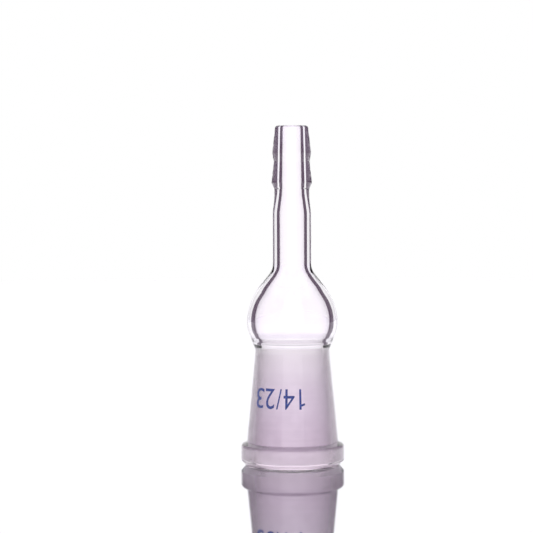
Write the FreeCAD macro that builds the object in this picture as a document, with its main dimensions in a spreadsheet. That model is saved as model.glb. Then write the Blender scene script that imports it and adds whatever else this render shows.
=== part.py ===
import FreeCAD, Part
import math
import operator
import os
import Sketcher

# A glass hose adapter, blown as one piece: a socket with a ground bore and a thick rim at the bottom,
# a round bulb above it, and a stem that ends in a hose barb with two olives.
# It stands on its rim. The origin is the middle of the mouth, and Z runs along the axis to the hose end.
# All sizes are in millimetres.

NODE = "hose_adapter"

# Diameters are named bore, walls are the glass beside a bore, and the rest is measured along the axis
# from the size before it, or is the radius of a rounded corner.
SIZES = {
    # Ground bore of the socket: a taper of 1 in 10, widest at the mouth
    "mouth_bore": 14.5,
    "ground_length": 23.0,
    "length_per_taper": 10.0,
    "mouth_edge_round": 1.35,
    # Thick rim at the mouth, which the piece stands on
    "rim_wall": 2.62,
    "rim_height": 3.95,
    "rim_slope_height": 0.6,
    "rim_round": 0.75,
    "slope_round": 0.2,
    "foot_bevel_width": 0.87,
    "foot_bevel_height": 1.05,
    # Wall of the socket, just above the rim and at the waist under the bulb
    "socket_wall_low": 1.72,
    "socket_wall_high": 0.91,
    "waist_below_ground_end": 0.84,
    "waist_round": 2.3,
    # Lip inside, a little above the end of the ground bore, and the flare from it into the bulb
    "lip_bore": 12.0,
    "lip_rise": 0.85,
    "lip_round": 1.3,
    "flare_bore": 13.0,
    "flare_rise": 1.0,
    "flare_round": 2.0,
    # Bulb: how far its hollow swells past the flare, its wall at the widest place, and the two curves
    # that meet there, which run on as straight lines to the waist and to the shoulder. How full a curve
    # is is given as a share of the largest radius that fits, which would leave no straight line.
    "bulb_swell": 0.67,
    "bulb_wall": 1.5,
    "bulb_rise": 5.24,
    "bulb_lower_fullness": 0.517,
    "bulb_upper_fullness": 0.866,
    "shoulder_rise": 10.21,
    "shoulder_round": 3.0,
    # Hollow of the bulb: it is widest a little above the outside, and its shoulder is lower
    "hollow_rise": 0.14,
    "hollow_lower_fullness": 0.872,
    "hollow_upper_fullness": 0.75,
    "hollow_shoulder_drop": 0.52,
    "hollow_shoulder_round": 4.6,
    # Straight stem, and the neck that narrows to the root of the hose barb, slower inside than outside
    "stem_bore": 4.7,
    "stem_wall": 1.33,
    "stem_length": 10.79,
    "neck_length": 2.7,
    "bore_neck_length": 3.8,
    "neck_round": 4.0,
    # Hose barb: a straight root, the lower olive, a valley, the upper olive and the tip.
    # The olives and the valley stand out past the root.
    "root_bore": 3.8,
    "root_wall": 1.46,
    "root_length": 1.85,
    "root_round": 0.3,
    "lower_olive_stand": 0.54,
    "lower_olive_step": 1.2,
    "lower_olive_length": 4.0,
    "lower_olive_round": 0.6,
    "valley_stand": 0.08,
    "valley_round": 1.2,
    "upper_olive_stand": 0.38,
    "upper_olive_step": 1.7,
    "upper_olive_length": 5.2,
    "upper_olive_round": 1.2,
    "tip_bore": 3.4,
    "tip_wall": 1.43,
    "tip_outer_round": 0.5,
    "tip_inner_round": 0.35,
}

# Each rounded corner: its size, and the corners of the outside and of the inside that it rounds
ROUNDS = [
    ("rim_round", ["rim_top"], []),
    ("slope_round", ["slope_top"], []),
    ("waist_round", ["waist"], []),
    ("shoulder_round", ["shoulder"], []),
    ("hollow_shoulder_round", [], ["shoulder"]),
    ("neck_round", ["stem_top", "neck_top"], ["stem_top", "neck_top"]),
    ("root_round", ["root_top"], []),
    ("lower_olive_round", ["lower_olive"], []),
    ("valley_round", ["valley"], []),
    ("upper_olive_round", ["upper_olive"], []),
    ("tip_outer_round", ["tip"], []),
    ("tip_inner_round", [], ["tip"]),
    ("lip_round", [], ["lip"]),
    ("flare_round", [], ["flare"]),
    ("mouth_edge_round", [], ["mouth"]),
]

# How close an edge's radius and height have to be to a corner's
SAME_PLACE = 1e-4

OPERATIONS = {"+": operator.add, "-": operator.sub, "*": operator.mul, "/": operator.truediv}

# A sketch's own names for its origin, its axes and the ends of an edge
ORIGIN = (-1, 1)
MOUTH_LINE = -1
AXIS_LINE = -2
START, END, CENTRE = 1, 2, 3


class Length:
    """A number and the sheet's formula for it, so that each place is worked out only once."""

    def __init__(self, number, formula):
        self.number = number
        self.formula = formula

    def __add__(self, other):
        return combined(self, "+", other)

    def __sub__(self, other):
        return combined(self, "-", other)

    def __mul__(self, other):
        return combined(self, "*", other)

    def __truediv__(self, other):
        return combined(self, "/", other)


def combined(left, sign, right):
    if not isinstance(right, Length):
        right = Length(right, str(right))
    number = OPERATIONS[sign](left.number, right.number)
    return Length(number, f"({left.formula} {sign} {right.formula})")


def make_sheet(doc):
    sheet = doc.addObject("Spreadsheet::Sheet", "sizes")
    for row, (alias, value) in enumerate(SIZES.items(), start=1):
        sheet.set(f"A{row}", alias)
        sheet.set(f"B{row}", str(value))
        sheet.setAlias(f"B{row}", alias)
    doc.recompute()
    return {alias: Length(value, f"sizes.{alias}") for alias, value in SIZES.items()}


def heights_of(size):
    """Heights above the mouth, from the narrow end of the ground bore to the tip."""
    heights = {"ground_end": size["ground_length"]}
    heights["waist"] = heights["ground_end"] - size["waist_below_ground_end"]
    heights["bulb"] = heights["waist"] + size["bulb_rise"]
    heights["shoulder"] = heights["bulb"] + size["shoulder_rise"]
    heights["stem_top"] = heights["shoulder"] + size["stem_length"]
    heights["neck_top"] = heights["stem_top"] + size["neck_length"]
    heights["root_top"] = heights["neck_top"] + size["root_length"]
    heights["lower_olive"] = heights["root_top"] + size["lower_olive_step"]
    heights["valley"] = heights["lower_olive"] + size["lower_olive_length"]
    heights["upper_olive"] = heights["valley"] + size["upper_olive_step"]
    heights["tip"] = heights["upper_olive"] + size["upper_olive_length"]
    return heights


def ground_radius(size, height):
    """Radius of the ground taper at a height above the mouth."""
    return size["mouth_bore"] / 2 - height / size["length_per_taper"] / 2


def outside_corners(size, heights):
    """Radius and height of each corner of the outside, from the foot to the tip.

    A corner that is None is where a straight line touches one of the bulb's curves.
    """
    rim_radius = size["mouth_bore"] / 2 + size["rim_wall"]
    slope_top = size["rim_height"] + size["rim_slope_height"]
    bulb_radius = size["flare_bore"] / 2 + size["bulb_swell"] + size["bulb_wall"]
    stem_radius = size["stem_bore"] / 2 + size["stem_wall"]
    root_radius = size["root_bore"] / 2 + size["root_wall"]
    return {
        "foot": (rim_radius - size["foot_bevel_width"], None),
        "bevel_top": (rim_radius, size["foot_bevel_height"]),
        "rim_top": (rim_radius, size["rim_height"]),
        "slope_top": (ground_radius(size, slope_top) + size["socket_wall_low"], slope_top),
        "waist": (ground_radius(size, heights["waist"]) + size["socket_wall_high"], heights["waist"]),
        "bulb_base": None,
        "bulb": (bulb_radius, heights["bulb"]),
        "bulb_top": None,
        "shoulder": (stem_radius, heights["shoulder"]),
        "stem_top": (stem_radius, heights["stem_top"]),
        "neck_top": (root_radius, heights["neck_top"]),
        "root_top": (root_radius, heights["root_top"]),
        "lower_olive": (root_radius + size["lower_olive_stand"], heights["lower_olive"]),
        "valley": (root_radius + size["valley_stand"], heights["valley"]),
        "upper_olive": (root_radius + size["upper_olive_stand"], heights["upper_olive"]),
        "tip": (size["tip_bore"] / 2 + size["tip_wall"], heights["tip"]),
    }


def inside_corners(size, heights):
    """Radius and height of each corner of the hollow, from the mouth to the tip."""
    lip_height = heights["ground_end"] + size["lip_rise"]
    flare_radius = size["flare_bore"] / 2
    stem_bore_radius = size["stem_bore"] / 2
    return {
        "mouth": (size["mouth_bore"] / 2, None),
        "ground_end": (ground_radius(size, heights["ground_end"]), heights["ground_end"]),
        "lip": (size["lip_bore"] / 2, lip_height),
        "flare": (flare_radius, lip_height + size["flare_rise"]),
        "bulb_base": None,
        "bulb": (flare_radius + size["bulb_swell"], heights["bulb"] + size["hollow_rise"]),
        "bulb_top": None,
        "shoulder": (stem_bore_radius, heights["shoulder"] - size["hollow_shoulder_drop"]),
        "stem_top": (stem_bore_radius, heights["stem_top"]),
        "neck_top": (size["root_bore"] / 2, heights["stem_top"] + size["bore_neck_length"]),
        "tip": (size["tip_bore"] / 2, heights["tip"]),
    }


def curve_radius(fullness, widest, corner):
    """Radius of the curve that starts upright at the widest place and runs on as a line to a corner."""
    inset = widest[0] - corner[0]
    rise = widest[1] - corner[1]
    return fullness * (inset * inset + rise * rise) / (inset * 2)


def spot(corner):
    """A corner's place as plain numbers. A corner with no height lies in the mouth's plane."""
    radius, height = corner
    return FreeCAD.Vector(radius.number, height.number if height else 0, 0)


def arc_about(centre, radius, lower, upper):
    circle = Part.Circle(centre, FreeCAD.Vector(0, 0, 1), radius)
    turns = [math.atan2(end.y - centre.y, end.x - centre.x) for end in (lower, upper)]
    return Part.ArcOfCircle(circle, *turns)


def touching_spot(centre, radius, corner, side):
    """Where a line from a corner touches a circle on its outer side: 1 for a corner above, -1 below."""
    reach = corner - centre
    turn = math.atan2(reach.y, reach.x) - side * math.acos(radius / reach.Length)
    return centre + FreeCAD.Vector(math.cos(turn), math.sin(turn), 0) * radius


class Outline:
    """A closed half outline in the body's XZ plane, drawn upwards and bound to the sheet."""

    def __init__(self, body, name):
        self.sketch = body.newObject("Sketcher::SketchObject", name)
        plane = next(item for item in body.Origin.OriginFeatures if item.Role == "XZ_Plane")
        self.sketch.AttachmentSupport = [(plane, "")]
        self.sketch.MapMode = "FlatFace"
        self.edges = []

    def hold(self, *constraint):
        return self.sketch.addConstraint(Sketcher.Constraint(*constraint))

    def bind(self, length, kind, *ends):
        """A distance or a radius that follows a formula of the sheet."""
        index = self.hold(kind, *ends, length.number)
        self.sketch.setExpression(f"Constraints[{index}]", length.formula)

    def add(self, edge, joint="Coincident"):
        """Adds an edge that starts where the one before it ended."""
        index = self.sketch.addGeometry(edge, False)
        if self.edges:
            self.hold(joint, self.edges[-1], END, index, START)
        self.edges.append(index)
        return index

    def line(self, start, end, joint="Coincident"):
        return self.add(Part.LineSegment(start, end), joint)

    def place(self, index, corner):
        """Holds the start of an edge at a corner."""
        radius, height = corner
        self.bind(radius, "DistanceX", *ORIGIN, index, START)
        if height:
            self.bind(height, "DistanceY", *ORIGIN, index, START)
        else:
            self.hold("PointOnObject", index, START, MOUTH_LINE)

    def close(self, tip, mouth):
        """Closes the outline from its tip across to the axis, down it, and out along the mouth."""
        top = FreeCAD.Vector(0, tip.y, 0)
        across = self.line(tip, top)
        self.hold("Horizontal", across)
        down = self.line(top, FreeCAD.Vector(0, 0, 0))
        self.hold("PointOnObject", down, START, AXIS_LINE)
        self.hold("Coincident", down, END, *ORIGIN)
        out = self.line(FreeCAD.Vector(0, 0, 0), mouth)
        self.hold("Coincident", out, END, self.edges[0], START)
        return across


def draw_outline(body, name, corners, lower_fullness, upper_fullness):
    """Half of a section that is straight from corner to corner, but for the two curves of the bulb."""
    outline = Outline(body, name)
    names = list(corners)
    spots = {corner: spot(place) for corner, place in corners.items() if place}
    before_bulb = names[names.index("bulb_base") - 1]
    curves, centres = {}, {}
    for end, fullness, side, corner in (
        ("bulb_base", lower_fullness, -1, before_bulb),
        ("bulb_top", upper_fullness, 1, "shoulder"),
    ):
        curve = curve_radius(fullness, corners["bulb"], corners[corner])
        curves[end] = curve
        centres[end] = spots["bulb"] - FreeCAD.Vector(curve.number, 0, 0)
        spots[end] = touching_spot(centres[end], curve.number, spots[corner], side)
    for corner, following in zip(names, names[1:]):
        joint = "Tangent" if corner in centres else "Coincident"
        if following == "bulb":
            arc = arc_about(centres[corner], curves[corner].number, spots[corner], spots["bulb"])
            index = outline.add(arc, joint)
            outline.hold("Horizontal", index, CENTRE, index, END)
            outline.bind(curves[corner], "Radius", index)
        elif corner == "bulb":
            arc = arc_about(centres[following], curves[following].number, spots["bulb"], spots[following])
            index = outline.add(arc)
            outline.hold("Horizontal", index, CENTRE, index, START)
            outline.bind(curves[following], "Radius", index)
        else:
            index = outline.line(spots[corner], spots[following], joint)
        if corners[corner]:
            outline.place(index, corners[corner])
    last = outline.close(spots["tip"], spots[names[0]])
    outline.place(last, corners["tip"])
    return outline.sketch


def turn_about_axis(body, kind, name, sketch):
    feature = body.newObject(kind, name)
    feature.Profile = sketch
    feature.ReferenceAxis = (sketch, ["V_Axis"])
    feature.Angle = 360
    sketch.Visibility = False
    return feature


def rings_at(shape, wanted):
    """Names of the round edges that lie at the wanted spots."""
    found = []
    for number, edge in enumerate(shape.Edges, start=1):
        if not isinstance(edge.Curve, Part.Circle):
            continue
        here = FreeCAD.Vector(edge.Curve.Radius, edge.Curve.Center.z, 0)
        if any((here - place).Length < SAME_PLACE for place in wanted):
            found.append(f"Edge{number}")
    if len(found) != len(wanted):
        raise ValueError(f"found {len(found)} of the {len(wanted)} edges to round")
    return found


def round_corners(doc, body, outside, inside):
    for name, outer_corners, inner_corners in ROUNDS:
        base = body.Tip
        wanted = [spot(outside[corner]) for corner in outer_corners]
        wanted += [spot(inside[corner]) for corner in inner_corners]
        fillet = body.newObject("PartDesign::Fillet", name)
        fillet.Base = (base, rings_at(base.Shape, wanted))
        fillet.setExpression("Radius", f"sizes.{name}")
        doc.recompute()


def make_adapter(doc, size):
    """The whole glass: its outside turned as a solid, the hollow turned out of it, and rounded corners."""
    heights = heights_of(size)
    outside = outside_corners(size, heights)
    inside = inside_corners(size, heights)
    body = doc.addObject("PartDesign::Body", NODE)
    body.Label = NODE
    body.Placement = FreeCAD.Placement()
    fullness = size["bulb_lower_fullness"], size["bulb_upper_fullness"]
    sketch = draw_outline(body, "outside_outline", outside, *fullness)
    turn_about_axis(body, "PartDesign::Revolution", "outside", sketch)
    doc.recompute()
    fullness = size["hollow_lower_fullness"], size["hollow_upper_fullness"]
    sketch = draw_outline(body, "inside_outline", inside, *fullness)
    turn_about_axis(body, "PartDesign::Groove", "hollow", sketch)
    doc.recompute()
    round_corners(doc, body, outside, inside)
    return body


def check(doc, bodies):
    for item in doc.Objects:
        if "Invalid" in item.State or "Error" in item.State:
            raise RuntimeError(f"{item.Label} failed: {item.State}")
    for body in bodies:
        if body.Shape.isNull() or not body.Shape.isValid():
            raise RuntimeError(f"{body.Label} has no valid shape")
        if len(body.Shape.Solids) != 1:
            raise RuntimeError(f"{body.Label} isn't one solid")


def main():
    os.makedirs("parts", exist_ok=True)
    doc = FreeCAD.newDocument("hose_adapter_model")
    size = make_sheet(doc)
    bodies = [make_adapter(doc, size)]
    doc.recompute()
    check(doc, bodies)
    for body in bodies:
        body.Shape.exportStep(f"parts/{body.Label}.step")
        box = body.Shape.BoundBox
        print(f"{body.Label}: {box.XLength:.2f} x {box.YLength:.2f} x {box.ZLength:.2f} mm, "
              f"volume {body.Shape.Volume:.1f} mm3")


main()
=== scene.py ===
import math

import bpy
from bpy.props import FloatProperty, FloatVectorProperty, IntProperty, PointerProperty
from mathutils import Matrix, Vector


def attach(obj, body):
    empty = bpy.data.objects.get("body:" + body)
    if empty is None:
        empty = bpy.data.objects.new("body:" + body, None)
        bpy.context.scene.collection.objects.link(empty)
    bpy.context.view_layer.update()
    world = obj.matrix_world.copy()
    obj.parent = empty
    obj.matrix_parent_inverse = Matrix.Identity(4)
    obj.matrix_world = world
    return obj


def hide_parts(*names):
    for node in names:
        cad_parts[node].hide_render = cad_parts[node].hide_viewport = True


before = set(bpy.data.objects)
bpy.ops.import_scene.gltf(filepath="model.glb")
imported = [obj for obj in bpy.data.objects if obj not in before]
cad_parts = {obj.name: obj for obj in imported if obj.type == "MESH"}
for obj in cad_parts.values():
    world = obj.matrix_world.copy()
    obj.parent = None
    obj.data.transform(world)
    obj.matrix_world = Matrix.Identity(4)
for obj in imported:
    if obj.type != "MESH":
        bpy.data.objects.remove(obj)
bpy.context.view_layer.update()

bl_info = {
    "name": "Glass Hose Adapter",
    "version": (1, 0, 0),
    "blender": (4, 5, 0),
    "location": "3D View > Sidebar > Hose Adapter",
    "description": "Makes a glass hose adapter with a ground socket, its size print and its stage",
    "category": "Add Mesh",
}

MM = 0.001
BODY = "root"
CAD_NODE = "hose_adapter"
GLASS = "glass_adapter"
SIZE_PRINT = "size_print"

# Size of the pen's first dot, and the fewest steps in which it draws an arc
DOT = 0.1 * MM
FEWEST_STEPS = 2
# How close points are merged, how close to the taper a face is ground, and from where an edge stays sharp
MERGE_GAP = 1e-7
TAPER_GAP = 0.05 * MM
SHARP_EDGE = math.radians(25)
# Share of the mouth's rounding up to which the edge stays polished
POLISHED_SHARE = 0.5

# Corners of the one, of height 1, from the right of its foot and round by its head and flag
ONE_CORNERS = (
    (0.32, 0.0), (0.32, 1.0), (0.2, 1.0), (0.2, 0.85), (0.0, 0.79), (0.0, 0.69), (0.2, 0.74), (0.2, 0.0))
# How finely the built-in type's curves and the wrapped print are divided
CURVE_STEPS = 6
PRINT_STRIP = 0.25 * MM
# How far outside the glass the print is bent, and how far above the glass it is then laid
PRINT_LIFT = 0.1 * MM
PRINT_GAP = 0.003 * MM

# Heights between which the colour of the thick rim goes over into that of the thin wall
THICK_TO_THIN = (4 * MM, 14 * MM)
# Heights of the painted shade on the slope above the rim and on the ring where bulb and socket are melted
# together
SLOPE_SHADE_BAND = (3.85 * MM, 4.65 * MM)
JOINT_SHADE_BAND = (23.6 * MM, 24.78 * MM)
BAND_EDGE = 0.1 * MM
# Heights between which the tip's edge takes its painted shade
TIP_SHADE_EDGE = (64.7 * MM, 64.8 * MM)
# Heights between which the ground zone changes colour, at its wide end and towards its narrow end
MOUTH_FADE = (2.8 * MM, 4 * MM)
WORN_FADE = (12 * MM, 24 * MM)

# How the streaks and the grinding rings are stretched along the axes, and the scale of the even patterns
STREAK_STRETCH = (900, 900, 40)
RING_STRETCH = (50, 50, 2200)
GRIT_SCALE = 9000
CLOUD_SCALE = 420
PATCH_SCALE = 2500
WEAR_SCALE = 25
PLAIN_DETAIL = 2
FINE_DETAIL = 3
# Strengths of a pattern between which a colour or a roughness changes
NARROW_RANGE = (0.35, 0.65)
WIDE_RANGE = (0.3, 0.7)
PATCH_RANGE = (0.4, 0.7)
# What worn places do to a colour, to the ground zone's roughness and to the floor's
WORN_SHADE = 0.93
GROUND_SPREAD = 0.05
FLOOR_SPREAD = 1.6
# The ink's roughness, and how much paler it is where it is thin
INK_ROUGHNESS = (0.35, 0.5)
INK_GAIN = 1.6
INK_LIFT = 0.02
# Sockets of a Mix node that carry colours
MIX_FIRST = 6
MIX_SECOND = 7
MIX_RESULT = 2

FLOOR_SIDES = 96
FLOOR_GAP = 0.02 * MM
SENSOR_WIDTH = 36
CLIP_START = 1 * MM
# Angles over which a flag's side edge and its top fade out, and a window falls off from its middle
FLAG_EDGE = math.radians(2)
FLAG_TOP = (math.radians(39), math.radians(59))
WINDOW_FALL = (math.radians(8), math.radians(24))
# Light has run inside the wall if it has crossed fewer surfaces than the first limit, or if it has been
# turned back more often than the second
CROSSINGS_LIMIT = 2.5
TURNS_LIMIT = 1.5


def length(name, millimetres, description):
    return FloatProperty(
        name=name, description=description, default=millimetres * MM, unit="LENGTH", precision=5)


def angle(name, degrees, description):
    return FloatProperty(
        name=name, description=description, default=math.radians(degrees), subtype="ANGLE")


def share(name, default, description):
    return FloatProperty(
        name=name, description=description, default=default, min=0, max=1, subtype="FACTOR")


def colour(name, default, description):
    return FloatVectorProperty(
        name=name, description=description, default=default, min=0, size=3, subtype="COLOR")


def number(name, default, description):
    return FloatProperty(name=name, description=description, default=default)


class SocketSizes(bpy.types.PropertyGroup):
    mouth_bore: length("Mouth bore", 14.5, "Wide end of the ground bore")
    ground_length: length("Ground length", 23.0, "Height of the ground zone")
    length_per_taper: number("Length per taper", 10.0, "Length in which the bore narrows by one")
    mouth_edge_round: length("Mouth edge round", 1.35, "Rounding of the mouth's edge")
    rim_wall: length("Rim wall", 2.62, "Glass between the mouth and the outside of the rim")
    rim_height: length("Rim height", 3.95, "Height of the straight part of the rim")
    rim_slope_height: length("Rim slope", 0.6, "Height of the slope above the rim")
    rim_round: length("Rim round", 0.75, "Rounding of the slope's lower end, at the rim")
    slope_round: length("Slope round", 0.2, "Rounding of the slope's upper end, at the wall")
    foot_bevel_width: length("Foot bevel width", 0.87, "Width of the bevel that the rim stands on")
    foot_bevel_height: length("Foot bevel height", 1.05, "Height of that bevel")
    wall_low: length("Wall above the rim", 1.72, "Glass of the socket just above the rim")
    wall_high: length("Wall at the waist", 0.91, "Glass of the socket under the bulb")
    waist_below_ground_end: length(
        "Waist drop", 0.84, "How far the waist is below the end of the ground zone")
    waist_round: length("Waist round", 2.3, "Rounding of the waist")
    lip_bore: length("Lip bore", 12.0, "Bore at the lip, just past the ground zone")
    lip_rise: length("Lip rise", 0.85, "How far the lip is above the end of the ground zone")
    lip_round: length("Lip round", 1.3, "Rounding of the lip")
    flare_bore: length("Flare bore", 13.0, "Bore at the end of the flare above the lip")
    flare_rise: length("Flare rise", 1.0, "Height of the flare")
    flare_round: length("Flare round", 2.0, "Rounding of the flare's end")


class BulbSizes(bpy.types.PropertyGroup):
    swell: length("Swell", 0.67, "How far the hollow is wider than the flare")
    wall: length("Wall", 1.5, "Glass at the widest place")
    rise: length("Rise", 5.24, "From the waist to the widest place outside")
    lower_fullness: share("Lower fullness", 0.517, "Roundness of the outside below the widest place")
    upper_fullness: share("Upper fullness", 0.866, "Roundness of the outside above the widest place")
    shoulder_rise: length("Shoulder rise", 10.21, "From the widest place to the shoulder")
    shoulder_round: length("Shoulder round", 3.0, "Rounding of the shoulder outside")
    hollow_rise: length("Hollow rise", 0.14, "How far the hollow is widest above the outside")
    hollow_lower_fullness: share(
        "Hollow lower fullness", 0.872, "Roundness of the hollow below its widest place")
    hollow_upper_fullness: share(
        "Hollow upper fullness", 0.75, "Roundness of the hollow above its widest place")
    hollow_shoulder_drop: length(
        "Hollow shoulder drop", 0.52, "How far the hollow's shoulder is below the outside's")
    hollow_shoulder_round: length("Hollow shoulder round", 4.6, "Rounding of the shoulder inside")


class StemSizes(bpy.types.PropertyGroup):
    bore: length("Bore", 4.7, "Bore of the straight stem")
    wall: length("Wall", 1.33, "Glass of the straight stem")
    run: length("Run", 10.79, "From the shoulder to the neck")
    neck_run: length("Neck run", 2.7, "Height in which the outside narrows to the root")
    bore_neck_run: length("Bore neck run", 3.8, "Height in which the bore narrows to the root's")
    neck_round: length("Neck round", 4.0, "Rounding of both ends of the neck")


class BarbSizes(bpy.types.PropertyGroup):
    root_bore: length("Root bore", 3.8, "Bore at the root of the barb")
    root_wall: length("Root wall", 1.46, "Glass at the root of the barb")
    root_run: length("Root run", 1.85, "Straight run between the neck and the lower olive")
    root_round: length("Root round", 0.3, "Rounding where the lower olive starts")
    lower_stand: length("Lower olive", 0.54, "How far the lower olive stands out past the root")
    lower_step: length("Lower step", 1.2, "Height of the lower olive's step")
    lower_run: length("Lower run", 4.0, "From the lower olive's crest to the valley")
    lower_round: length("Lower round", 0.6, "Rounding of the lower olive's crest")
    valley_stand: length("Valley", 0.08, "How far the valley stands out past the root")
    valley_round: length("Valley round", 1.2, "Rounding of the valley")
    upper_stand: length("Upper olive", 0.38, "How far the upper olive stands out past the root")
    upper_step: length("Upper step", 1.7, "From the valley to the upper olive's crest")
    upper_run: length("Upper run", 5.2, "From the upper olive's crest to the tip")
    upper_round: length("Upper round", 1.2, "Rounding of the upper olive's crest")
    tip_bore: length("Tip bore", 3.4, "Bore at the tip")
    tip_wall: length("Tip wall", 1.43, "Glass at the tip")
    tip_outer_round: length("Tip outer round", 0.5, "Rounding of the tip outside")
    tip_inner_round: length("Tip inner round", 0.35, "Rounding of the tip inside")


class GlassLook(bpy.types.PropertyGroup):
    sides: IntProperty(name="Sides", description="Steps of the lathe in one turn", default=160, min=16)
    arc_step: angle("Arc step", 5, "Turn of the outline in one step along a rounded corner")
    bend: number("Bending of light", 1.47, "Index of refraction of the glass")
    glass_colour: colour("Glass colour", (0.99, 0.967, 0.995), "Colour of the clear glass")
    rim_colour: colour("Rim colour", (0.975, 0.91, 0.97), "Colour of the clear glass at the thick rim")
    # Painted shade: the glass on the slope above the rim is darkened to stand in for the dark line that the
    # glass shows there
    painted_slope_shade: colour(
        "Slope colour", (0.7, 0.58, 0.71), "Colour of the clear glass on the slope above the rim")
    # Painted shade: a grey ring where bulb and socket are melted together, standing in for the dark ring
    # that the glass shows there
    painted_joint_shade: colour(
        "Joint colour", (0.82, 0.79, 0.83), "Colour of the glass where bulb and socket are melted together")
    # Painted shade: the tip's edge is darkened grey to stand in for the dark edge that the glass shows
    # there
    painted_tip_shade: colour("Tip colour", (0.55, 0.52, 0.56), "Colour of the clear glass at the tip's edge")
    streak: length("Streak", 0.002, "Depth of the streaks in the clear glass")
    streak_colour: colour("Streak colour", (0.975, 0.945, 0.983), "Colour of the glass in a streak")
    ground_colour: colour("Ground colour", (0.89, 0.785, 0.89), "Colour of the ground zone")
    mouth_colour: colour(
        "Mouth colour", (1.0, 0.91, 0.99), "Colour of the ground zone's wide end, at the mouth")
    worn_colour: colour(
        "Worn colour", (1.0, 0.95, 0.98), "Colour of the ground zone's narrow end, which is ground less")
    ground_roughness: share("Ground roughness", 0.65, "Roughness of the ground zone")
    grit: length("Grit", 0.03, "Depth of the grit in the ground zone")
    frost: share("Frost", 0.06, "How much of the ground zone is opaque powder")
    frost_colour: colour("Frost colour", (0.97, 0.9, 0.97), "Colour of the opaque powder")


class PrintLook(bpy.types.PropertyGroup):
    numeral_width: length("Numeral width", 2.12, "Width of a numeral, along the glass")
    narrow_width: length("Narrow width", 1.08, "Width of the one and of the stroke between the numbers")
    height: length("Print height", 3.86, "Height of the print")
    small_gap: length("Small gap", 0.36, "Gap between two numerals")
    wide_gap: length("Wide gap", 0.9, "Gap after the one")
    middle: length("Print middle", 13.5, "Height of the print's middle above the mouth")
    turn: angle("Print turn", -21.3, "Turn of the print's middle about the axis, from the front")
    thickness: length("Print thickness", 0.02, "Thickness of the ink")
    ink: colour("Ink", (0.015, 0.035, 0.2), "Colour of the ink")


class StageLook(bpy.types.PropertyGroup):
    camera_distance: length("Camera distance", 382, "From the adapter's axis to the camera, along Y")
    camera_side: length("Camera side", -4.8, "Camera's place across the view")
    camera_height: length("Camera height", 58.3, "Camera above the floor")
    camera_dip: angle("Camera dip", 3.02, "How far the camera looks down")
    camera_roll: angle("Camera roll", 0.236, "How far the camera leans to one side")
    lens: number("Lens", 135.1, "Focal length of the camera, in millimetres")
    floor_radius: length("Floor radius", 600, "Radius of the round floor")
    floor_colour: colour("Floor colour", (0.7, 0.69, 0.72), "Colour of the polished floor")
    floor_roughness: share("Floor roughness", 0.02, "Roughness of the polished floor")
    floor_mirror: share("Floor mirror", 0.95, "How much the floor mirrors")
    window_half: angle(
        "Window half width", 29, "Half of the width of the bright windows before and behind the glass")
    flag_colour: colour("Flag colour", (0.1, 0.065, 0.105), "Colour of the dark flags at the sides")
    window_light: number("Window light", 1.15, "Strength of the windows' middle")
    window_edge_light: number("Edge light", 1.08, "Strength of the windows' edges")
    wall_light: number("Wall light", 1.04, "Strength of the windows for light that ran inside the wall")
    floor_light: number("Floor light", 1.5, "Strength of what the bare floor mirrors")


class AdapterSettings(bpy.types.PropertyGroup):
    socket: PointerProperty(type=SocketSizes, name="Socket", description="Sizes of the ground socket")
    bulb: PointerProperty(type=BulbSizes, name="Bulb", description="Sizes of the bulb")
    stem: PointerProperty(type=StemSizes, name="Stem", description="Sizes of the stem")
    barb: PointerProperty(type=BarbSizes, name="Barb", description="Sizes of the hose barb")
    glass: PointerProperty(type=GlassLook, name="Glass", description="Look of the glass")
    print: PointerProperty(type=PrintLook, name="Print", description="Look and place of the size print")
    stage: PointerProperty(type=StageLook, name="Stage", description="Camera, floor and light")


class Value:
    """A node's output. The usual operators on it add Math nodes to its tree."""

    def __init__(self, shader, socket):
        self.shader = shader
        self.socket = socket

    def math(self, operation, *others):
        return self.shader.math(operation, self, *others)

    def capped(self):
        """The value, but one at most."""
        return self.math("MINIMUM", 1.0)

    def __add__(self, other):
        return self.math("ADD", other)

    def __sub__(self, other):
        return self.math("SUBTRACT", other)

    def __rsub__(self, other):
        return self.shader.math("SUBTRACT", other, self)

    def __mul__(self, other):
        return self.math("MULTIPLY", other)

    def __abs__(self):
        return self.math("ABSOLUTE")

    __radd__ = __add__
    __rmul__ = __mul__


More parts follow.
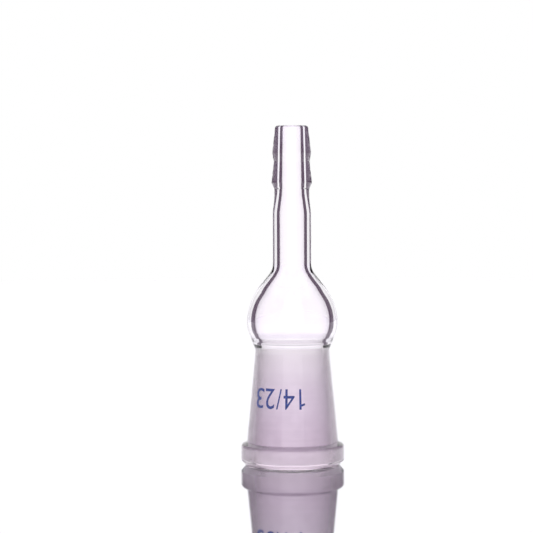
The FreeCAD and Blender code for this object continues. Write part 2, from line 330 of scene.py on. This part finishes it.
class Shader:
    """The nodes of one material or world."""

    def __init__(self, owner):
        owner.use_nodes = True
        self.tree = owner.node_tree
        self.tree.nodes.clear()

    def add(self, kind, settings=None, inputs=None):
        """Adds a node, makes its settings first, and then fills its sockets with values or links."""
        node = self.tree.nodes.new(kind)
        for name, value in (settings or {}).items():
            setattr(node, name, value)
        for name, value in (inputs or {}).items():
            if isinstance(value, Value):
                self.tree.links.new(value.socket, node.inputs[name])
            else:
                node.inputs[name].default_value = value
        return node

    def value(self, kind, settings=None, inputs=None, output=0):
        """Adds a node and gives one of its outputs."""
        return Value(self, self.add(kind, settings, inputs).outputs[output])

    def math(self, operation, *terms):
        return self.value("ShaderNodeMath", {"operation": operation}, dict(enumerate(terms)))

    def ramp(self, value, low, high, to_low=0.0, to_high=1.0):
        """Goes smoothly from one number to another while the value goes from low to high."""
        inputs = {"Value": value, "From Min": low, "From Max": high, "To Min": to_low, "To Max": to_high}
        return self.value("ShaderNodeMapRange", {"interpolation_type": "SMOOTHSTEP"}, inputs)

    def band(self, value, low, high):
        """Is one between two numbers and nought outside them, with soft edges."""
        return (self.ramp(value, low - BAND_EDGE, low + BAND_EDGE)
                * self.ramp(value, high - BAND_EDGE, high + BAND_EDGE, 1.0, 0.0))

    def blend(self, factor, first, second):
        """A mix of two colours."""
        inputs = {"Factor": factor, MIX_FIRST: first, MIX_SECOND: second}
        return self.value("ShaderNodeMix", {"data_type": "RGBA"}, inputs, MIX_RESULT)

    def place(self):
        """Object coordinates."""
        return self.value("ShaderNodeTexCoord", None, None, "Object")

    def stretched(self, factors):
        """Object coordinates, stretched by a factor along each axis."""
        return self.value("ShaderNodeMapping", None, {"Vector": self.place(), "Scale": factors})

    def height(self):
        """Height in object coordinates."""
        return self.value("ShaderNodeSeparateXYZ", None, {0: self.place()}, "Z")

    def noise(self, place, scale, detail):
        return self.value("ShaderNodeTexNoise", None, {"Vector": place, "Scale": scale, "Detail": detail})

    def bump(self, height, depth):
        return self.value("ShaderNodeBump", None, {"Strength": 1.0, "Distance": depth, "Height": height})

    def principled(self, inputs):
        return self.value("ShaderNodeBsdfPrincipled", None, inputs)

    def mixed(self, factor, first, second):
        """A mix of two surfaces."""
        return self.value("ShaderNodeMixShader", None, {0: factor, 1: first, 2: second})

    def finish(self, surface):
        self.add("ShaderNodeOutputMaterial", None, {"Surface": surface})


def opaque(rgb):
    return (*rgb, 1.0)


def grey(level):
    return opaque([level] * 3)


def worn_shade(rgb):
    return opaque([channel * WORN_SHADE for channel in rgb])


def clear_glass(look):
    """Fire-polished glass with the faint streaks of drawn tube, deeper in colour where thick, with painted
    shade on the slope above the rim, on the ring where bulb and socket are melted together and at the tip's
    edge.
    """
    material = bpy.data.materials.new("clear glass")
    shader = Shader(material)
    streaks = shader.noise(shader.stretched(STREAK_STRETCH), 1.0, FINE_DETAIL)
    streaky = shader.ramp(streaks, *NARROW_RANGE)
    height = shader.height()
    tint = shader.blend(streaky, opaque(look.glass_colour), opaque(look.streak_colour))
    tint = shader.blend(shader.ramp(height, *THICK_TO_THIN), opaque(look.rim_colour), tint)
    # Painted shade: a dark band on the slope above the rim
    tint = shader.blend(shader.band(height, *SLOPE_SHADE_BAND), tint, opaque(look.painted_slope_shade))
    # Painted shade: a grey ring where bulb and socket are melted together
    tint = shader.blend(shader.band(height, *JOINT_SHADE_BAND), tint, opaque(look.painted_joint_shade))
    # Painted shade: the tip's edge darkened grey
    tint = shader.blend(shader.ramp(height, *TIP_SHADE_EDGE), tint, opaque(look.painted_tip_shade))
    shader.finish(shader.principled({
        "Base Color": tint,
        "Roughness": 0.0,
        "IOR": look.bend,
        "Transmission Weight": 1.0,
        "Normal": shader.bump(streaks, look.streak),
    }))
    return material


def ground_glass(look):
    """Glass ground dull with fine grit, with the faint rings that the grinding leaves."""
    material = bpy.data.materials.new("ground glass")
    shader = Shader(material)
    bump = shader.bump(shader.noise(shader.place(), GRIT_SCALE, FINE_DETAIL), look.grit)
    rings = shader.noise(shader.stretched(RING_STRETCH), 1.0, PLAIN_DETAIL)
    clouds = shader.noise(shader.place(), CLOUD_SCALE, PLAIN_DETAIL)
    worn = shader.ramp(rings * 0.5 + clouds * 0.5, *NARROW_RANGE)
    height = shader.height()
    tint = shader.blend(worn, opaque(look.ground_colour), worn_shade(look.ground_colour))
    tint = shader.blend(shader.ramp(height, *MOUTH_FADE), opaque(look.mouth_colour), tint)
    tint = shader.blend(shader.ramp(height, *WORN_FADE), tint, opaque(look.worn_colour))
    least = look.ground_roughness - GROUND_SPREAD
    most = look.ground_roughness + GROUND_SPREAD
    clear = shader.principled({
        "Base Color": tint,
        "Roughness": shader.ramp(clouds, *WIDE_RANGE, least, most),
        "IOR": look.bend,
        "Transmission Weight": 1.0,
        "Normal": bump,
    })
    powder = shader.principled({
        "Base Color": shader.blend(worn, opaque(look.frost_colour), worn_shade(look.frost_colour)),
        "Roughness": 1.0,
        "IOR": 1.0,
        "Normal": bump,
    })
    shader.finish(shader.mixed(look.frost, clear, powder))
    return material


def print_ink(look):
    """Fired ink, a little thinner in places."""
    material = bpy.data.materials.new("print ink")
    shader = Shader(material)
    patches = shader.noise(shader.place(), PATCH_SCALE, PLAIN_DETAIL)
    thin = opaque([channel * INK_GAIN + INK_LIFT for channel in look.ink])
    shader.finish(shader.principled({
        "Base Color": shader.blend(shader.ramp(patches, *PATCH_RANGE), opaque(look.ink), thin),
        "Roughness": shader.ramp(patches, *WIDE_RANGE, *INK_ROUGHNESS),
    }))
    return material


def polished_floor(look):
    """A pale board that mirrors what stands on it, a little unevenly."""
    material = bpy.data.materials.new("polished floor")
    shader = Shader(material)
    wear = shader.noise(shader.place(), WEAR_SCALE, FINE_DETAIL)
    roughness = shader.ramp(wear, *WIDE_RANGE, look.floor_roughness, look.floor_roughness * FLOOR_SPREAD)
    shine = opaque(look.floor_colour)
    mirror = shader.value("ShaderNodeBsdfAnisotropic", None, {"Color": shine, "Roughness": roughness})
    board = shader.value("ShaderNodeBsdfDiffuse", None, {"Color": shine})
    shader.finish(shader.mixed(look.floor_mirror, board, mirror))
    return material


def deselect():
    if bpy.context.object and bpy.context.object.mode == "EDIT":
        bpy.ops.object.mode_set(mode="OBJECT")
    bpy.ops.object.select_all(action="DESELECT")


def name_piece(piece, name):
    piece.name = name
    piece.data.name = name


def mesh_box(piece):
    """Lowest and highest corner of a piece's mesh."""
    places = [vertex.co for vertex in piece.data.vertices]
    low = Vector([min(place[axis] for place in places) for axis in range(3)])
    high = Vector([max(place[axis] for place in places) for axis in range(3)])
    return low, high


class Pen:
    """Draws an outline in the XZ plane, in edit mode, from one vertex that it pulls along."""

    def __init__(self, name, start, arc_step=math.pi):
        deselect()
        bpy.ops.mesh.primitive_plane_add(size=DOT, location=(0, 0, 0))
        self.piece = bpy.context.object
        name_piece(self.piece, name)
        self.place = start
        self.arc_step = arc_step
        bpy.ops.object.mode_set(mode="EDIT")
        bpy.ops.mesh.merge(type="CENTER")
        bpy.ops.transform.translate(value=start)

    def line(self, goal):
        bpy.ops.mesh.extrude_region_move(TRANSFORM_OT_translate={"value": goal - self.place})
        self.place = goal

    def arc(self, centre, sweep):
        """Turns on about a centre. A positive sweep is anticlockwise, seen with X to the right and Z up."""
        steps = max(FEWEST_STEPS, math.ceil(abs(sweep) / self.arc_step))
        bpy.ops.mesh.spin(steps=steps, angle=sweep, center=centre, axis=(0, 1, 0))
        self.place = centre + Matrix.Rotation(-sweep, 3, "Y") @ (self.place - centre)

    def rounded(self, corners):
        """Lines from corner to corner, and an arc at each corner that has a rounding."""
        spots = [Vector((radius, 0, height)) for radius, height, rounding in corners]
        for index, (radius, height, rounding) in enumerate(corners):
            if not rounding:
                self.line(spots[index])
                continue
            back = (spots[index - 1] - spots[index]).normalized()
            ahead = (spots[index + 1] - spots[index]).normalized()
            half = back.angle(ahead) / 2
            self.line(spots[index] + back * rounding / math.tan(half))
            centre = spots[index] + (back + ahead).normalized() * rounding / math.sin(half)
            turn = back.z * ahead.x - back.x * ahead.z
            self.arc(centre, math.copysign(math.pi - 2 * half, turn))


def side_corner(widest, fullness, other, side):
    """Where the upright line at the widest place meets the line from another corner.

    Both touch the curve, which starts at the widest place. Its radius is a share of the largest that
    fits between the two corners. Side is 1 above the widest place and -1 below.
    """
    inset = widest[0] - other[0]
    rise = abs(other[1] - widest[1])
    curve = fullness * (inset**2 + rise**2) / (2 * inset)
    straight = math.sqrt(inset**2 + rise**2 - 2 * inset * curve)
    return (widest[0], widest[1] + side * inset * curve / (rise + straight), curve)


def ground_radius(socket, height):
    return socket.mouth_bore / 2 - height / socket.length_per_taper / 2


def heights_of(settings):
    """Heights above the mouth, named as in the construction."""
    socket, bulb, stem, barb = settings.socket, settings.bulb, settings.stem, settings.barb
    heights = {"ground_end": socket.ground_length}
    heights["waist"] = heights["ground_end"] - socket.waist_below_ground_end
    heights["bulb"] = heights["waist"] + bulb.rise
    heights["shoulder"] = heights["bulb"] + bulb.shoulder_rise
    heights["stem_top"] = heights["shoulder"] + stem.run
    heights["neck_top"] = heights["stem_top"] + stem.neck_run
    heights["root_top"] = heights["neck_top"] + barb.root_run
    heights["lower_olive"] = heights["root_top"] + barb.lower_step
    heights["valley"] = heights["lower_olive"] + barb.lower_run
    heights["upper_olive"] = heights["valley"] + barb.upper_step
    heights["tip"] = heights["upper_olive"] + barb.upper_run
    return heights


def outside_corners(settings, heights):
    """Radius, height and rounding of each corner of the outside, from the bevel to the tip."""
    socket, bulb, stem, barb = settings.socket, settings.bulb, settings.stem, settings.barb
    rim = socket.mouth_bore / 2 + socket.rim_wall
    slope_top = socket.rim_height + socket.rim_slope_height
    waist_radius = ground_radius(socket, heights["waist"]) + socket.wall_high
    waist = (waist_radius, heights["waist"], socket.waist_round)
    widest = (socket.flare_bore / 2 + bulb.swell + bulb.wall, heights["bulb"])
    shoulder = (stem.bore / 2 + stem.wall, heights["shoulder"], bulb.shoulder_round)
    root = barb.root_bore / 2 + barb.root_wall
    return [
        (rim, socket.foot_bevel_height, 0),
        (rim, socket.rim_height, socket.rim_round),
        (ground_radius(socket, slope_top) + socket.wall_low, slope_top, socket.slope_round),
        waist,
        side_corner(widest, bulb.lower_fullness, waist, -1),
        side_corner(widest, bulb.upper_fullness, shoulder, 1),
        shoulder,
        (shoulder[0], heights["stem_top"], stem.neck_round),
        (root, heights["neck_top"], stem.neck_round),
        (root, heights["root_top"], barb.root_round),
        (root + barb.lower_stand, heights["lower_olive"], barb.lower_round),
        (root + barb.valley_stand, heights["valley"], barb.valley_round),
        (root + barb.upper_stand, heights["upper_olive"], barb.upper_round),
        (barb.tip_bore / 2 + barb.tip_wall, heights["tip"], barb.tip_outer_round),
    ]


def inside_corners(settings, heights):
    """Radius, height and rounding of each corner of the hollow, from the tip down to the mouth."""
    socket, bulb, stem, barb = settings.socket, settings.bulb, settings.stem, settings.barb
    lip = (socket.lip_bore / 2, heights["ground_end"] + socket.lip_rise, socket.lip_round)
    flare = (socket.flare_bore / 2, lip[1] + socket.flare_rise, socket.flare_round)
    widest = (flare[0] + bulb.swell, heights["bulb"] + bulb.hollow_rise)
    shoulder = (stem.bore / 2, heights["shoulder"] - bulb.hollow_shoulder_drop, bulb.hollow_shoulder_round)
    return [
        (barb.tip_bore / 2, heights["tip"], barb.tip_inner_round),
        (barb.root_bore / 2, heights["stem_top"] + stem.bore_neck_run, stem.neck_round),
        (stem.bore / 2, heights["stem_top"], stem.neck_round),
        shoulder,
        side_corner(widest, bulb.hollow_upper_fullness, shoulder, 1),
        side_corner(widest, bulb.hollow_lower_fullness, flare, -1),
        flare,
        lip,
        (ground_radius(socket, heights["ground_end"]), heights["ground_end"], 0),
        (socket.mouth_bore / 2, 0, socket.mouth_edge_round),
    ]


class ADAPTER_OT_glass(bpy.types.Operator):
    """Turns the glass from its outline, and grinds the inside of the socket"""

    bl_idname = "adapter.glass"
    bl_label = "Make the Glass"

    def execute(self, context):
        settings = context.scene.adapter
        socket = settings.socket
        heights = heights_of(settings)
        foot = (socket.mouth_bore / 2 + socket.rim_wall - socket.foot_bevel_width, 0, 0)
        corners = outside_corners(settings, heights) + inside_corners(settings, heights)
        pen = Pen(GLASS, Vector(foot), settings.glass.arc_step)
        pen.rounded(corners + [foot])
        bpy.ops.mesh.select_all(action="SELECT")
        bpy.ops.mesh.remove_doubles(threshold=MERGE_GAP)
        bpy.ops.mesh.spin(steps=settings.glass.sides, angle=math.tau, center=(0, 0, 0), axis=(0, 0, 1))
        bpy.ops.mesh.select_all(action="SELECT")
        bpy.ops.mesh.remove_doubles(threshold=MERGE_GAP)
        bpy.ops.mesh.normals_make_consistent(inside=False)
        bpy.ops.mesh.select_all(action="DESELECT")
        piece = pen.piece
        piece.data.materials.append(clear_glass(settings.glass))
        piece.data.materials.append(ground_glass(settings.glass))
        self.grind(piece, socket)
        bpy.ops.object.mode_set(mode="OBJECT")
        bpy.ops.object.shade_smooth_by_angle(angle=SHARP_EDGE)
        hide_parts(CAD_NODE)
        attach(piece, BODY)
        return {"FINISHED"}

    def grind(self, piece, socket):
        """Gives the taper inside the socket its own material."""
        bpy.ops.object.mode_set(mode="OBJECT")
        lowest = socket.mouth_edge_round * POLISHED_SHARE
        for face in piece.data.polygons:
            middle = face.center
            radius = math.hypot(middle.x, middle.y)
            on_taper = abs(radius - ground_radius(socket, middle.z)) < TAPER_GAP
            face.select = on_taper and lowest < middle.z < socket.ground_length
        piece.active_material_index = 1
        bpy.ops.object.mode_set(mode="EDIT")
        bpy.ops.object.material_slot_assign()


class ADAPTER_OT_size_print(bpy.types.Operator):
    """Prints the size of the ground joint on the socket, head down"""

    bl_idname = "adapter.size_print"
    bl_label = "Print the Size"

    def execute(self, context):
        look = context.scene.adapter.print
        glass = bpy.data.objects.get(GLASS)
        if glass is None:
            raise RuntimeError("the glass comes before its print")
        piece, width = self.flat_print(look)
        radius = self.socket_radius(context.scene.adapter, look.middle) + PRINT_LIFT
        self.cut_into_strips(width)
        self.wrap(piece, look, radius)
        self.lay_on(piece, glass, look)
        piece.data.materials.append(print_ink(look))
        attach(piece, BODY)
        return {"FINISHED"}

    def socket_radius(self, settings, height):
        """Radius of the socket's outside between the rim and the waist."""
        corners = outside_corners(settings, heights_of(settings))
        # The third corner is the top of the slope, and the fourth is the waist
        (low_radius, low), (high_radius, high) = [corner[:2] for corner in corners[2:4]]
        return low_radius + (high_radius - low_radius) * (height - low) / (high - low)

    def flat_print(self, look):
        """The print in the XZ plane, head down, with its middle at the origin."""
        wide, narrow = look.numeral_width, look.narrow_width
        marks = [
            (self.one(), narrow, look.wide_gap),
            (self.letter("4"), wide, look.small_gap),
            (self.letter("/"), narrow, look.small_gap),
            (self.letter("2"), wide, look.small_gap),
            (self.letter("3"), wide, 0),
        ]
        total = sum(width + gap for mark, width, gap in marks)
        place = total / 2
        for mark, width, gap in marks:
            self.fit(mark, width, look.height, place - width / 2)
            place -= width + gap
        deselect()
        for mark, width, gap in marks:
            mark.select_set(True)
        bpy.ops.object.join()
        piece = bpy.context.object
        name_piece(piece, SIZE_PRINT)
        return piece, total

    def letter(self, words):
        """One numeral of the plain built-in type, upright in the XZ plane."""
        deselect()
        bpy.ops.object.text_add(location=(0, 0, 0), rotation=(math.pi / 2, 0, 0))
        type_data = bpy.context.object.data
        type_data.body = words
        type_data.resolution_u = CURVE_STEPS
        bpy.ops.object.convert(target="MESH")
        bpy.ops.object.transform_apply(location=True, rotation=True, scale=True)
        return bpy.context.object

    def one(self):
        """A one with a short flag, upright in the XZ plane."""
        (foot_x, foot_z), *others = ONE_CORNERS
        pen = Pen("one", Vector((foot_x, 0, foot_z)))
        for x, z in others:
            pen.line(Vector((x, 0, z)))
        bpy.ops.mesh.select_all(action="SELECT")
        bpy.ops.mesh.edge_face_add()
        bpy.ops.object.mode_set(mode="OBJECT")
        return pen.piece

    def fit(self, mark, width, height, place):
        """Gives a mark its size, turns it head down and puts its middle at a place along X."""
        low, high = mesh_box(mark)
        size = high - low
        deselect()
        bpy.context.view_layer.objects.active = mark
        bpy.ops.object.mode_set(mode="EDIT")
        bpy.ops.mesh.select_all(action="SELECT")
        bpy.ops.transform.translate(value=-(low + high) / 2)
        stretch = (-width / size.x, 1, -height / size.z)
        bpy.ops.transform.resize(value=stretch, center_override=(0, 0, 0))
        bpy.ops.transform.translate(value=(place, 0, 0))
        bpy.ops.object.mode_set(mode="OBJECT")

    def cut_into_strips(self, width):
        """Cuts the flat print into upright strips, so that it can follow the round glass."""
        bpy.ops.object.mode_set(mode="EDIT")
        strips = math.ceil(width / PRINT_STRIP)
        for strip in range(1, strips):
            cut = width * (strip / strips - 0.5)
            bpy.ops.mesh.select_all(action="SELECT")
            bpy.ops.mesh.bisect(plane_co=(cut, 0, 0), plane_no=(1, 0, 0))

    def wrap(self, piece, look, radius):
        """Bends the flat print about the axis, and puts it before the glass at its height and turn."""
        bpy.ops.object.mode_set(mode="OBJECT")
        low, high = mesh_box(piece)
        bend = piece.modifiers.new("wrap", "SIMPLE_DEFORM")
        bend.deform_method = "BEND"
        bend.deform_axis = "Z"
        bend.angle = (high.x - low.x) / radius
        bpy.ops.object.modifier_apply(modifier=bend.name)
        bpy.ops.object.mode_set(mode="EDIT")
        bpy.ops.mesh.select_all(action="SELECT")
        bpy.ops.transform.translate(value=(0, -radius, look.middle))
        bpy.ops.object.mode_set(mode="OBJECT")
        piece.rotation_euler.z = look.turn
        bpy.ops.object.transform_apply(location=True, rotation=True, scale=True)

    def lay_on(self, piece, glass, look):
        """Draws the print onto the glass, and gives the ink its thickness."""
        lay = piece.modifiers.new("lay", "SHRINKWRAP")
        lay.target = glass
        lay.wrap_mode = "ABOVE_SURFACE"
        lay.offset = PRINT_GAP
        bpy.ops.object.modifier_apply(modifier=lay.name)
        ink = piece.modifiers.new("ink", "SOLIDIFY")
        ink.thickness = look.thickness
        ink.offset = 1
        bpy.ops.object.modifier_apply(modifier=ink.name)


class ADAPTER_OT_stage(bpy.types.Operator):
    """Sets up the floor, the light and the camera"""

    bl_idname = "adapter.stage"
    bl_label = "Set the Stage"

    def execute(self, context):
        look = context.scene.adapter.stage
        self.add_floor(look)
        self.add_light(context.scene, look)
        self.add_camera(context.scene, look)
        context.scene.view_settings.view_transform = "Standard"
        return {"FINISHED"}

    def add_floor(self, look):
        deselect()
        bpy.ops.mesh.primitive_circle_add(
            vertices=FLOOR_SIDES, radius=look.floor_radius, fill_type="NGON", location=(0, 0, -FLOOR_GAP))
        floor = bpy.context.object
        floor.name = "floor"
        floor.data.materials.append(polished_floor(look))

    def at_sides(self, shader, side, low, high):
        """Is nought before and behind the glass and one at its sides, and changes between two angles."""
        front = shader.ramp(side, low, high)
        return front * shader.ramp(side, math.pi - high, math.pi - low, 1.0, 0.0)

    def add_light(self, scene, look):
        """Bright windows before and behind the glass, and dark flags at its sides.

        Only light that ran inside the wall sees the flags, so the middle of the glass stays clear.
        """
        world = bpy.data.worlds.new("studio")
        scene.world = world
        shader = Shader(world)
        direction = shader.value("ShaderNodeTexCoord", None, None, "Generated")
        split = shader.add("ShaderNodeSeparateXYZ", None, {0: direction})
        across, along, up = [Value(shader, socket) for socket in split.outputs]
        level = (across * across + along * along).math("SQRT")
        side = abs(shader.math("ARCTAN2", across, along))
        climb = abs(shader.math("ARCTAN2", up, level))
        rays = shader.add("ShaderNodeLightPath")

        def ray(name):
            return Value(shader, rays.outputs[name])

        mirrored = ray("Is Glossy Ray") * ray("Is Reflection Ray") * (1 - ray("Is Singular Ray"))
        crossings = ray("Transmission Depth")
        few_crossings = crossings.math("LESS_THAN", CROSSINGS_LIMIT)
        many_turns = (ray("Glossy Depth") - mirrored).math("GREATER_THAN", TURNS_LIMIT)
        in_wall = (few_crossings + many_turns).capped()

        flag = self.at_sides(shader, side, look.window_half - FLAG_EDGE, look.window_half + FLAG_EDGE)
        flag = flag * shader.ramp(climb, *FLAG_TOP, 1.0, 0.0) * in_wall
        falling = self.at_sides(shader, side, *WINDOW_FALL)
        windows = shader.blend(falling, grey(look.window_light), grey(look.window_edge_light))
        windows = shader.blend(in_wall, windows, grey(look.wall_light))
        seen = shader.blend(flag, windows, opaque(look.flag_colour))

        dull = ray("Is Diffuse Ray") + ray("Diffuse Depth")
        plain = (ray("Is Camera Ray") + dull).capped()
        seen = shader.blend(plain, seen, grey(1))
        through_glass = crossings.capped()
        seen = shader.blend(mirrored * (1 - through_glass), seen, grey(look.floor_light))
        lift = 1 + mirrored * through_glass * (look.floor_light - 1)
        background = shader.value("ShaderNodeBackground", None, {"Color": seen, "Strength": lift})
        shader.add("ShaderNodeOutputWorld", None, {"Surface": background})

    def add_camera(self, scene, look):
        place = (look.camera_side, -look.camera_distance, look.camera_height)
        turn = (math.pi / 2 - look.camera_dip, look.camera_roll, 0)
        bpy.ops.object.camera_add(location=place, rotation=turn)
        camera = bpy.context.object
        camera.name = "camera"
        camera.data.sensor_width = SENSOR_WIDTH
        camera.data.lens = look.lens
        camera.data.clip_start = CLIP_START
        scene.camera = camera


class ADAPTER_PT_panel(bpy.types.Panel):
    """Lists the adapter's pieces and sizes"""

    bl_idname = "ADAPTER_PT_panel"
    bl_label = "Glass Hose Adapter"
    bl_space_type = "VIEW_3D"
    bl_region_type = "UI"
    bl_category = "Hose Adapter"

    def draw(self, context):
        layout = self.layout
        settings = context.scene.adapter
        for operator in OPERATORS:
            layout.operator(operator.bl_idname)
        for group in AdapterSettings.__annotations__:
            box = layout.box()
            box.label(text=group.title())
            sizes = getattr(settings, group)
            for size in type(sizes).__annotations__:
                box.prop(sizes, size)


GROUPS = (SocketSizes, BulbSizes, StemSizes, BarbSizes, GlassLook, PrintLook, StageLook, AdapterSettings)
OPERATORS = (ADAPTER_OT_glass, ADAPTER_OT_size_print, ADAPTER_OT_stage)
CLASSES = GROUPS + OPERATORS + (ADAPTER_PT_panel,)


def register():
    for item in CLASSES:
        bpy.utils.register_class(item)
    bpy.types.Scene.adapter = PointerProperty(type=AdapterSettings)


def unregister():
    del bpy.types.Scene.adapter
    for item in reversed(CLASSES):
        bpy.utils.unregister_class(item)


def main():
    register()
    bpy.ops.adapter.stage()
    bpy.ops.adapter.glass()
    bpy.ops.adapter.size_print()


if __name__ == "__main__":
    main()
